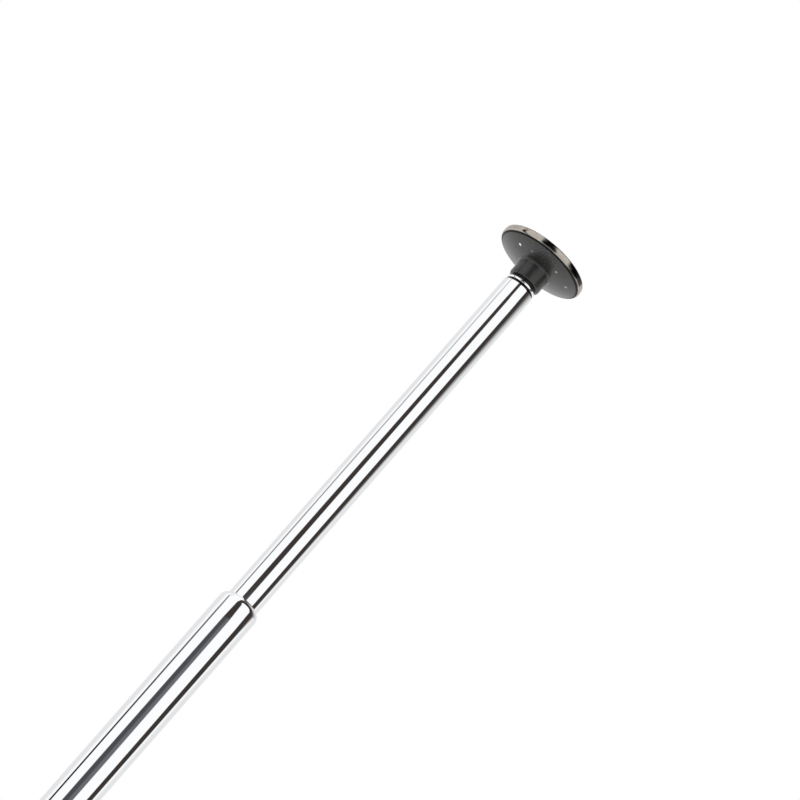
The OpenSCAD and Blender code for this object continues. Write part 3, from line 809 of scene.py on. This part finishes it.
    def wide_strip(self, shader, turn, rise, lift):
        """The dark strip beside the camera, with a light opening in it and one side faded."""
        strip = self.window(shader, turn, rise, corner=18, soft=1.5,
                            turns=(-160, self.slanted(shader, lift, 27.0, -1.7)), rises=(-100, 84))
        opening = self.window(shader, turn, rise, corner=18, soft=1.5,
                              turns=(self.slanted(shader, lift, -60.0, 2.0),
                                     self.slanted(shader, lift, -4.2, 2.6)), rises=(-100, 46))
        above = shader.math("MAXIMUM", lift, -1.3)
        faded = shader.smooth_step(turn, self.slanted(shader, above, -110.0, -11.0),
                                   self.slanted(shader, above, -85.0, 4.0))
        return shader.product(strip, shader.math("SUBTRACT", 1.0, opening), faded)

    def strip_colour(self, shader, turn, rise):
        """The wide strip's dark colours, lighter where the lower tubes show its middle."""
        low_part = shader.falling(rise, 18.5, 18.62)
        right_part = shader.smooth_step(turn, -30.0, -25.0)
        graphite = shader.product(low_part, shader.product(
            shader.falling(turn, 4.0, 13.0), right_part))
        dark = shader.mix(shader.product(low_part, right_part), rgba(STRIP_DARK), rgba(STRIP_LOW))
        return shader.mix(graphite, dark, rgba(STRIP_GRAPHITE))

    def brightness(self, shader, turn, rise, lift):
        """Strength of the surround: weaker in a thin strip at the side and high up behind."""
        thin_strip = shader.product(
            self.window(shader, turn, rise, turns=(78, 89), rises=(-100, 52), corner=3, soft=1.0),
            self.slanted(shader, lift, 0.7, -0.12))
        far = shader.product(shader.smooth_step(shader.math("ABSOLUTE", turn), 95.0, 120.0),
                             shader.smooth_step(rise, -2.0, 6.0))
        return shader.product(shader.math("SUBTRACT", 1.0, thin_strip),
                              shader.math("MULTIPLY_ADD", far, -0.22, 1.05))


def roll_top(sizes, tube_top):
    """Height that the tip tube's roll would reach, a quarter of the wall inside its bead."""
    return tube_top - 2 * sizes.end_bead + sizes.tube_wall / 4


class ANTENNA_OT_tubes(bpy.types.Operator):
    """Turn the five chromed tubes with their rolled lips"""

    bl_idname = "antenna.tubes"
    bl_label = "Tubes"

    def execute(self, context):
        sizes = settings()[0]
        for place, (node, body) in enumerate(zip(TUBES, TUBE_BODIES)):
            low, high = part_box(node)
            end = place + 1 == len(TUBES)
            if end:
                mouth = sizes.neck_diameter / 2
            else:
                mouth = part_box(TUBES[place + 1])[1].x + sizes.lip_clearance
            piece = lathe(node + "_plated", self.profile(sizes, high.x, low.z, high.z, mouth, end))
            fit(piece, body, "chromed_tube", chrome_plate(), node)
        return {"FINISHED"}

    def profile(self, sizes, outer, low, high, mouth, end):
        """Up the outside, round the lip as an arc, and back down the mouth and the bore.

        The roll is rho = c + R cos a, z = z0 + R sin a, from a = 0 to where it meets the mouth,
        or, on the tip tube's end, to the bead that closes it.
        """
        wall, bead = sizes.tube_wall, sizes.end_bead
        roll = outer - mouth if end else sizes.lip_roll
        across = mouth - (outer - roll)
        rise = math.sqrt(roll ** 2 - across ** 2)
        start = (roll_top(sizes, high) if end else high) - rise
        centre = (outer - roll, start)
        if end:
            bead_centre = (mouth + bead, high - bead)
            meeting = crossing(centre, roll, bead_centre, bead)
            lip = np.vstack((arc(centre, roll, 0, heading(centre, meeting)),
                             arc(bead_centre, bead, heading(bead_centre, meeting), 90)[1:],
                             [(mouth, high)]))
        else:
            lip = arc(centre, roll, 0, arc_angle(across, roll), LONG_ARC_STEPS)
        rows = np.linspace(low, start, TUBE_ROWS)
        outside = np.column_stack((np.full(rows.shape, outer), rows))
        inside = np.column_stack((np.full(rows.shape, outer - wall), rows[::-1]))
        return np.vstack((outside[:-1], lip,
                          arc(centre, roll - wall, arc_angle(across, roll - wall), 0), inside[1:]))


class ANTENNA_OT_cap(bpy.types.Operator):
    """Turn the black cap: spigot, neck, collar and disc"""

    bl_idname = "antenna.cap"
    bl_label = "Cap"

    def execute(self, context):
        sizes = settings()[0]
        low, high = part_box("tip_cap")
        tube_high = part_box("tip_tube")[1]
        neck = sizes.neck_diameter / 2
        bore = tube_high.x - sizes.tube_wall
        spigot = bore * SPIGOT_FIT
        spigot_z = roll_top(sizes, tube_high.z) - (tube_high.x - neck)
        collar_z = tube_high.z + sizes.neck_length
        collar = sizes.collar_diameter / 2
        edge, lower, soft = sizes.disc_edge, sizes.disc_lower_edge, sizes.collar_edge
        fillet, dome = sizes.collar_fillet, sizes.disc_dome
        lower_at = (high.x - lower, high.z - sizes.disc_thickness + lower)
        dome_at = (0, lower_at[1] + math.sqrt((dome - lower) ** 2 - lower_at[0] ** 2))
        fillet_at = (collar + fillet,
                     dome_at[1] - math.sqrt((dome + fillet) ** 2 - (collar + fillet) ** 2))
        inner = heading(dome_at, fillet_at)
        outer = heading(dome_at, lower_at)
        outline = np.vstack((
            [(0, low.z), (bore * SPIGOT_NOSE, low.z), (spigot, low.z + SPIGOT_CHAMFER),
             (spigot, spigot_z), (neck, spigot_z), (neck, collar_z)],
            arc((collar - soft, collar_z + soft), soft, -90, 0),
            arc(fillet_at, fillet, 180, inner + 180),
            arc(dome_at, dome, inner, outer, LONG_ARC_STEPS)[1:-1],
            arc(lower_at, lower, outer, 0),
            arc((high.x - edge, high.z - edge), edge, 0, 90),
            [(0, high.z)]))
        piece = lathe("tip_cap_turned", outline, CAP_SEGMENTS)
        fit(piece, "tip_section", "black_cap", black_nickel(), "tip_cap")
        return {"FINISHED"}


class ANTENNA_OT_housing(bpy.types.Operator):
    """Mould the black housing of the base"""

    bl_idname = "antenna.housing"
    bl_label = "Housing"

    def execute(self, context):
        piece = merged_copy("base_housing", "base_housing_moulded")
        fit(piece, "base", "black_moulding", FINISHES["black_moulding"](), "base_housing")
        return {"FINISHED"}


class ANTENNA_OT_plug(bpy.types.Operator):
    """Finish the plug's visible pieces: nut, body, pin, dielectric, gasket and ring"""

    bl_idname = "antenna.plug"
    bl_label = "Plug"

    def execute(self, context):
        slots = {part["node"]: part["material_slot"] for part in frame["record"]["subparts"]}
        for node, body in (("coupling_nut", "nut"), ("connector_body", "base"),
                           ("centre_pin", "base"), ("dielectric", "base"),
                           ("gasket", "base"), ("retaining_ring", "base")):
            piece = merged_copy(node, node + "_finished", 30.0)
            fit(piece, body, slots[node], FINISHES[slots[node]](), node)
        return {"FINISHED"}


class ANTENNA_OT_inner(bpy.types.Operator):
    """Give the pieces inside the tubes and the base their finishes"""

    bl_idname = "antenna.inner"
    bl_label = "Inner pieces"

    def execute(self, context):
        for part in frame["record"]["subparts"]:
            node = frame["nodes"][part["node"]]
            if node.hide_render:
                continue
            node.data.materials.clear()
            node.data.materials.append(FINISHES[part["material_slot"]]())
        return {"FINISHED"}


class ANTENNA_PT_panel(bpy.types.Panel):
    """The antenna's sizes, colours, light and steps, in the sidebar"""

    bl_label = "Antenna"
    bl_idname = "ANTENNA_PT_panel"
    bl_space_type = "VIEW_3D"
    bl_region_type = "UI"
    bl_category = "Antenna"

    def draw(self, context):
        for group in settings():
            box = self.layout.box()
            for field in group.bl_rna.properties:
                if field.identifier not in ("rna_type", "name"):
                    box.prop(group, field.identifier)
        for step in STEPS:
            self.layout.operator(step.bl_idname)


GROUPS = {"antenna_sizes": AntennaSizes, "antenna_colours": AntennaColours,
          "antenna_studio": AntennaStudio}
STEPS = (ANTENNA_OT_stage, ANTENNA_OT_tubes, ANTENNA_OT_cap, ANTENNA_OT_housing,
         ANTENNA_OT_plug, ANTENNA_OT_inner)


def register():
    """Registers every class and hangs the value groups on the scene."""
    for kind in (*GROUPS.values(), *STEPS, ANTENNA_PT_panel):
        bpy.utils.register_class(kind)
    for name, kind in GROUPS.items():
        setattr(bpy.types.Scene, name, bpy.props.PointerProperty(type=kind))


def unregister():
    """Takes the value groups off the scene and drops every class."""
    for name in GROUPS:
        delattr(bpy.types.Scene, name)
    for kind in (ANTENNA_PT_panel, *reversed(STEPS), *GROUPS.values()):
        bpy.utils.unregister_class(kind)


def main():
    """Makes the scene step by step."""
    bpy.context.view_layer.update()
    register()
    bpy.ops.antenna.stage()
    bpy.ops.antenna.tubes()
    bpy.ops.antenna.cap()
    bpy.ops.antenna.housing()
    bpy.ops.antenna.plug()
    bpy.ops.antenna.inner()


if __name__ == "__main__":
    main()
